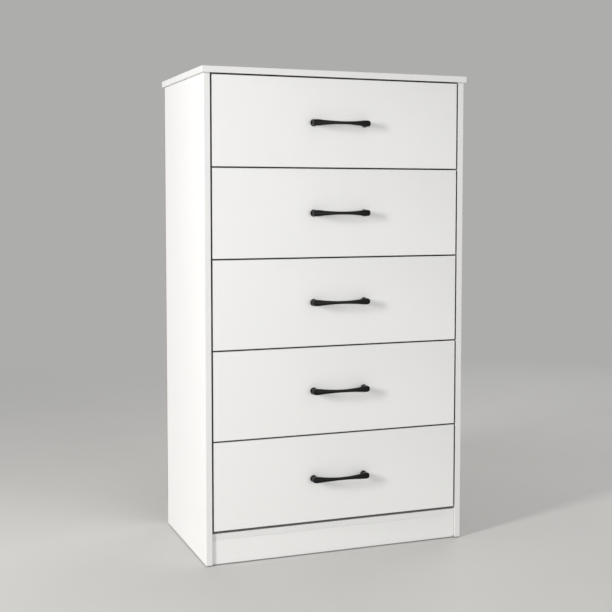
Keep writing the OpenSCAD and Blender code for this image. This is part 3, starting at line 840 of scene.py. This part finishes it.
# -------------------------------------------------------------------- runners
@dataclass
class RunnerRail:
    """A folded steel channel along Y with slots in its web.

    Attributes:
        back: x of the outside of the web.
        reach: x of the flanges' ends.
        low: lowest z.
        high: highest z.
        front: y of its front end.
        rear: y of its rear end.
    """

    back: float
    reach: float
    low: float
    high: float
    front: float
    rear: float
    sheet: float = 1.2 * MM
    fold: float = 1.6 * MM
    slot_pitch: float = 36 * MM
    slot_l: float = 10 * MM
    slot_h: float = 4.8 * MM
    slot_rim: float = 1.5 * MM

    def add_to(self, shape: Shape) -> None:
        """Fold the channel and add it to a shape.

        Args:
            shape: the shape that gets the channel.
        """
        corners = [Vector((self.reach, self.front, self.low)),
                   Vector((self.back, self.front, self.low)),
                   Vector((self.back, self.front, self.high)),
                   Vector((self.reach, self.front, self.high))]
        mesh = bmesh.new()
        verts = [mesh.verts.new(corner) for corner in corners]
        for first, second in zip(verts, verts[1:]):
            mesh.edges.new((first, second))
        bmesh.ops.bevel(mesh, geom=[verts[1], verts[2]], offset=self.fold, offset_type="OFFSET",
                        affect="VERTICES", segments=4, profile=0.5, material=-1)
        count = int((self.rear - self.front) // self.slot_pitch)
        slot_step = self.slot_l + 2 * self.slot_rim
        plain_step = (self.rear - self.front - count * slot_step) / (count + 1)
        row, slots = list(mesh.edges), []
        for index in range(2 * count + 1):
            slotted = index % 2 == 1
            grown = bmesh.ops.extrude_edge_only(mesh, edges=row)["geom"]
            bmesh.ops.translate(mesh, vec=(0, slot_step if slotted else plain_step, 0),
                                verts=[item for item in grown if isinstance(item, bmesh.types.BMVert)])
            row = [item for item in grown if isinstance(item, bmesh.types.BMEdge)]
            if slotted:
                faces = [item for item in grown if isinstance(item, bmesh.types.BMFace)]
                slots.append(max(faces, key=lambda face: face.calc_area()))
        self.punch(mesh, slots)
        bmesh.ops.recalc_face_normals(mesh, faces=mesh.faces)
        bmesh.ops.solidify(mesh, geom=mesh.faces, thickness=self.sheet)
        bmesh.ops.recalc_face_normals(mesh, faces=mesh.faces)
        data = bpy.data.meshes.new("channel")
        mesh.to_mesh(data)
        mesh.free()
        shape.mesh.from_mesh(data)
        bpy.data.meshes.remove(data)

    def punch(self, mesh: bmesh.types.BMesh, faces: Sequence[bmesh.types.BMFace]) -> None:
        """Open a round-ended slot in each of some web faces."""
        for face in faces:
            bmesh.ops.inset_individual(mesh, faces=[face], thickness=self.slot_rim,
                                       use_even_offset=True)
            middle = face.calc_center_median()
            corners = list(face.verts)
            for vert in corners:
                vert.co.z = middle.z + math.copysign(self.slot_h / 2, vert.co.z - middle.z)
            bmesh.ops.delete(mesh, geom=[face], context="FACES_ONLY")
            bmesh.ops.bevel(mesh, geom=corners, offset=self.slot_h * 0.46, offset_type="OFFSET",
                            affect="VERTICES", segments=4, profile=0.5, material=-1)


@dataclass
class Runners:
    """The steel rails and nylon glides of all the drawers."""

    glide_l: float = 24 * MM
    nylon_ease: float = 0.5 * MM
    sheet: float = 1.2 * MM

    def build(self) -> None:
        """Make the cabinet's rails, then each drawer's."""
        steel, nylon = Shape(ROLLED_ZINC), Shape(NYLON)
        for low, high in solids_of("cabinet_rails"):
            self.cabinet_rail(steel, nylon, low, high)
        steel.piece("cabinet_rail_channels", CABINET, ["cabinet_rails"], smooth_under=35)
        nylon.piece("cabinet_rail_glides", CABINET, slot="zinc_steel")
        for number in DRAWERS:
            node = f"drawer_{number}_rails"
            steel, nylon = Shape(ROLLED_ZINC), Shape(NYLON)
            for low, high in solids_of(node):
                self.drawer_rail(steel, nylon, low, high)
            steel.piece(f"drawer_{number}_rail_channels", f"drawer_{number}", [node], smooth_under=35)
            nylon.piece(f"drawer_{number}_rail_shoes", f"drawer_{number}", slot="zinc_steel")

    def cabinet_rail(self, steel: Shape, nylon: Shape, low: Vector, high: Vector) -> None:
        """One channel on a side panel, with the nylon glide at its mouth."""
        left = low.x < 0
        back = low.x if left else high.x
        way = 1 if left else -1
        RunnerRail(back, back + way * 8.8 * MM, low.z, high.z, low.y, high.y).add_to(steel)
        middle = (low.z + high.z) / 2
        ends = sorted((back + way * self.sheet, back + way * 9.2 * MM))
        nylon.block(Vector((ends[0], low.y, middle - 9.7 * MM)),
                    Vector((ends[1], low.y + self.glide_l, middle + 9.7 * MM)), self.nylon_ease, 3)

    def drawer_rail(self, steel: Shape, nylon: Shape, low: Vector, high: Vector) -> None:
        """One channel on a drawer side, with a nylon shoe above and below its rear end."""
        left = low.x < 0
        back = high.x if left else low.x
        way = -1 if left else 1
        middle = (low.z + high.z) / 2
        half = 11.5 * MM
        reach = back + way * 8.7 * MM
        RunnerRail(back, reach, middle - half, middle + half, low.y, high.y).add_to(steel)
        ends = sorted((reach, reach - way * 5 * MM))
        for bottom, top in ((low.z, middle - half), (middle + half, high.z)):
            nylon.block(Vector((ends[0], high.y - self.glide_l, bottom)),
                        Vector((ends[1], high.y, top)), self.nylon_ease, 3)


# ---------------------------------------------------------------------- pulls
@dataclass
class Pull:
    """A cast pull: flanged feet, round posts, and a bowed grip that is slim at its waist.

    The half outline is seen from above, in millimetres from the pull's middle and out from the drawer.

    Attributes:
        number: the drawer that it is on.
        sections: rows of (outer x, outer reach, inner x, inner reach, half height).
    """

    number: int
    foot_r: float = 8.75 * MM
    foot_t: float = 2.0 * MM
    end_half_h: float = 7.75
    waist_half_h: float = 3.7
    grip_half_l: float = 75.25
    bow: float = 7.0
    sections: tuple[tuple[float, float, float, float, float], ...] = (
        (74.7, 1.2, 60.3, 1.2, 7.1),
        (74.2, 4.0, 60.8, 4.0, 6.7),
        (74.1, 9.0, 60.9, 9.0, 6.6),
        (74.6, 13.0, 60.2, 12.6, 6.9),
        (75.5, 16.4, 58.6, 15.4, 7.4),
        (76.0, 19.6, 56.2, 17.2, 7.7),
        (75.4, 22.2, 53.2, 18.3, 7.7),
        (72.6, 23.5, 50.0, 18.9, 7.5),
        (67.0, 24.4, 46.5, 19.5, 7.0),
    )
    grip_xs: tuple[float, ...] = (56.0, 48.0, 40.0, 32.0, 24.0, 16.0, 8.0, 0.0)

    def grip_section(self, x: float) -> tuple[float, float, float, float, float]:
        """The grip's section at a distance from its middle, as a row of sections."""
        front = 30.0 - self.bow * (x / self.grip_half_l) ** 2
        thick = 7.0 + 0.5 * (x / self.grip_half_l)
        reach = 67.5
        half_h = self.waist_half_h + (self.end_half_h - self.waist_half_h) * (x / reach) ** 2
        inner_x = x * 0.86
        return x, front, inner_x, front - thick, half_h

    def build(self) -> bpy.types.Object:
        """Make the pull.

        Returns:
            The pull's object.
        """
        node = f"drawer_{self.number}_pull"
        low, high = node_box(node)
        middle = (low + high) / 2
        seat = Vector((middle.x, high.y, middle.z))
        rows = [*self.sections, *(self.grip_section(x) for x in self.grip_xs)]
        shape = Shape(BLACK_COAT)
        shape.loft([self.ring(seat, row) for row in rows], 28, 3.0, close=False)
        foot = seat + Vector((67.5 * MM, 0, 0))
        shape.disc(foot, Vector((0, -1, 0)), self.foot_r, self.foot_t, 0.9 * MM, segments=40)
        shape.mirror_x(middle.x)
        piece = shape.piece(f"drawer_{self.number}_pull_casting", f"drawer_{self.number}", [node],
                            smooth_under=50)
        finer = piece.modifiers.new("finer", "SUBSURF")
        finer.levels = finer.render_levels = 2
        return piece

    def ring(self, seat: Vector, row: Sequence[float]) -> Matrix:
        """Where the unit section goes for one row of the outline.

        Args:
            seat: the middle of the pull, on the drawer front.
            row: outer x, outer reach, inner x, inner reach and half height, in millimetres.

        Returns:
            The matrix that puts a unit circle there.
        """
        outer = seat + Vector((row[0], -row[1], 0)) * MM
        inner = seat + Vector((row[2], -row[3], 0)) * MM
        across, up = (outer - inner) / 2, Vector((0, 0, row[4])) * MM
        normal = across.cross(up).normalized() * MM
        place = Matrix.Identity(4)
        for column, axis in enumerate((across, up, normal, (outer + inner) / 2)):
            place.col[column][:3] = axis
        return place


# -------------------------------------------------------------------- drawers
@dataclass
class Drawer:
    """One drawer: its front, box, bottom and pull."""

    number: int
    cam_hole: float = 7.5 * MM
    cam_depth: float = 9.55 * MM
    head_hole: float = 4.2 * MM

    @property
    def body(self) -> str:
        """The body that carries every piece of the drawer."""
        return f"drawer_{self.number}"

    def node(self, piece: str) -> str:
        """The full name of one of the drawer's nodes."""
        return f"drawer_{self.number}_{piece}"

    def build(self) -> None:
        """Make the drawer's boards, bottom and pull."""
        Board(self.node("front"), self.body,
              banded=(Face.LEFT, Face.RIGHT, Face.UNDER, Face.UPPER)).build()
        self.side("left_side", Face.RIGHT)
        self.side("right_side", Face.LEFT)
        Board(self.node("back"), self.body, banded=(Face.UPPER,), bare=(Face.LEFT, Face.RIGHT),
              surface=BOX_FOIL, band=BOX_FOIL).build()
        self.bottom()
        Pull(self.number).build()

    def side(self, piece: str, inward: Face) -> None:
        """One side of the box, with its cam holes inside and its back screws' holes outside."""
        node = self.node(piece)
        low, high = node_box(node)
        inner = high.x if inward is Face.RIGHT else low.x
        outer = low.x if inward is Face.RIGHT else high.x
        bores = []
        for cam_low, cam_high in solids_of(self.node("cam_fittings")):
            centre = (cam_low + cam_high) / 2
            if low.x < centre.x < high.x and cam_high.z - cam_low.z > 10 * MM:
                mouth = Vector((inner, centre.y, centre.z))
                bores.append((mouth, -inward.normal, self.cam_hole, self.cam_depth))
        for screw_low, screw_high in solids_of(self.node("screws")):
            centre = (screw_low + screw_high) / 2
            long_x = screw_high.x - screw_low.x > 20 * MM
            if long_x and centre.x * outer > 0:
                mouth = Vector((outer, centre.y, centre.z))
                bores.append((mouth, inward.normal, self.head_hole, 3 * MM))
        Board(node, self.body, banded=(Face.UPPER,), bare=(Face.REAR, Face.FRONT), surface=BOX_FOIL,
              band=BOX_FOIL, bores=bores).build()

    def bottom(self) -> None:
        """The hardboard bottom: white above and bare below."""
        low, high = node_box(self.node("bottom"))
        shape = Shape(WHITE_HARDBOARD, BARE_HARDBOARD)
        for face in shape.block(low, high, 0.3 * MM, 2):
            if face.normal.z < -0.99:
                face.material_index = 1
        shape.piece(f"{self.node('bottom')}_sheet", self.body, [self.node("bottom")])


# --------------------------------------------------------------- small fittings
@dataclass
class Fittings:
    """The CAD nodes that keep their own shape and get their finishes here."""

    plain: dict[str, Finish] = field(default_factory=lambda: {
        "cam_fittings": CAST_ZINC, "rail_screws": SCREW_ZINC, "back_nails": SCREW_ZINC,
        "wall_bracket": ROLLED_ZINC})

    def build(self) -> None:
        """Put each finish into the material slots of its nodes."""
        finishes = dict(self.plain)
        for number in DRAWERS:
            finishes[f"drawer_{number}_cam_fittings"] = CAST_ZINC
            finishes[f"drawer_{number}_screws"] = SCREW_ZINC
        for node, finish in finishes.items():
            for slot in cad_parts[node].material_slots:
                slot.material = finish.material()


# --------------------------------------------------------------------- studio
@dataclass
class Studio:
    """The floor, the lamps and the camera."""

    camera_at: tuple[float, float, float] = (-1.05417, -2.75312, 0.88715)
    camera_yaw: float = 0.35972
    camera_pitch: float = 0.06512
    lens: float = 65.96
    lens_shift: float = -0.055
    floor_half: float = 14.0
    lamp_tint: tuple[float, float, float] = (1.0, 0.992, 0.978)
    sky_tint: tuple[float, float, float] = (1.0, 0.995, 0.985)
    sky_strength: float = 0.42
    fade_from: float = 1.1
    fade_to: float = 3.4

    def build(self) -> None:
        """Set up the camera, the floor, the sky and the lamps."""
        self.camera()
        self.floor()
        self.sky()
        self.lamp("window", (-3.2, -1.45, 1.5), (0.0, 0.0, 0.6), (0.5, 1.1), 98.0)
        self.lamp("front_fill", (1.0, -4.2, 0.9), (0.0, 0.0, 0.6), (3.0, 1.4), 35.0)
        self.lamp("ceiling", (0.3, 0.4, 3.6), (0.0, 0.2, 0.0), (2.6, 2.6), 14.0)
        self.lamp("rear_fill", (3.4, 2.8, 2.3), (0.0, 0.0, 0.6), (3.0, 2.2), 50.0)
        scene = bpy.context.scene
        scene.view_settings.view_transform = "Standard"
        scene.view_settings.look = "None"

    def camera(self) -> None:
        """A level-headed camera at eye height, turned a little to the right."""
        data = bpy.data.cameras.new("camera")
        data.lens, data.sensor_width = self.lens, 36.0
        data.shift_y = self.lens_shift
        camera = bpy.data.objects.new("camera", data)
        camera.location = self.camera_at
        camera.rotation_euler = (math.pi / 2 - self.camera_pitch, 0, -self.camera_yaw)
        bpy.context.scene.collection.objects.link(camera)
        bpy.context.scene.camera = camera

    def floor(self) -> None:
        """A plain pale floor."""
        sheet = NodeSheet("floor_paint")
        pale = sheet.blend(sheet.spread(sheet.noise(1.5, 3), 0, 1), (0.60, 0.595, 0.583),
                           (0.63, 0.625, 0.613))
        reach = sheet.add("ShaderNodeVectorMath", operation="LENGTH")
        sheet.join(sheet.place, reach.inputs[0])
        fade = sheet.spread(reach.outputs["Value"], 1, 0, self.fade_from, self.fade_to)
        sheet.set(Base_Color=pale, Roughness=0.7, Specular_IOR_Level=0.2, Alpha=fade)
        mesh = bmesh.new()
        bmesh.ops.create_grid(mesh, x_segments=8, y_segments=8, size=self.floor_half)
        data = bpy.data.meshes.new("floor")
        mesh.to_mesh(data)
        mesh.free()
        data.materials.append(sheet.material)
        floor = bpy.data.objects.new("floor", data)
        bpy.context.scene.collection.objects.link(floor)

    def sky(self) -> None:
        """An even pale light from all round."""
        world = bpy.data.worlds.new("studio")
        bpy.context.scene.world = world
        world.use_nodes = True
        light = world.node_tree.nodes["Background"]
        light.inputs["Color"].default_value = (*self.sky_tint, 1.0)
        light.inputs["Strength"].default_value = self.sky_strength

    def lamp(self, name: str, at: Sequence[float], towards: Sequence[float], size: Sequence[float],
             power: float) -> None:
        """A soft light box.

        Args:
            name: its name.
            at: where it stands.
            towards: the point that it faces.
            size: its width and height.
            power: its power in watts.
        """
        data = bpy.data.lights.new(name, "AREA")
        data.shape, data.energy = "RECTANGLE", power
        data.size, data.size_y = size
        data.color = self.lamp_tint
        lamp = bpy.data.objects.new(name, data)
        lamp.location = at
        lamp.rotation_euler = (Vector(towards) - Vector(at)).to_track_quat("-Z", "Y").to_euler()
        bpy.context.scene.collection.objects.link(lamp)


def main() -> None:
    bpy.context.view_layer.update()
    for part in (Studio(), Cabinet(), Runners(), *(Drawer(number) for number in DRAWERS), Fittings()):
        part.build()
        log.info("built %s", part.__class__.__name__)


if __name__ == "__main__":
    logging.basicConfig(level=logging.INFO, format="%(name)s: %(message)s")
    main()
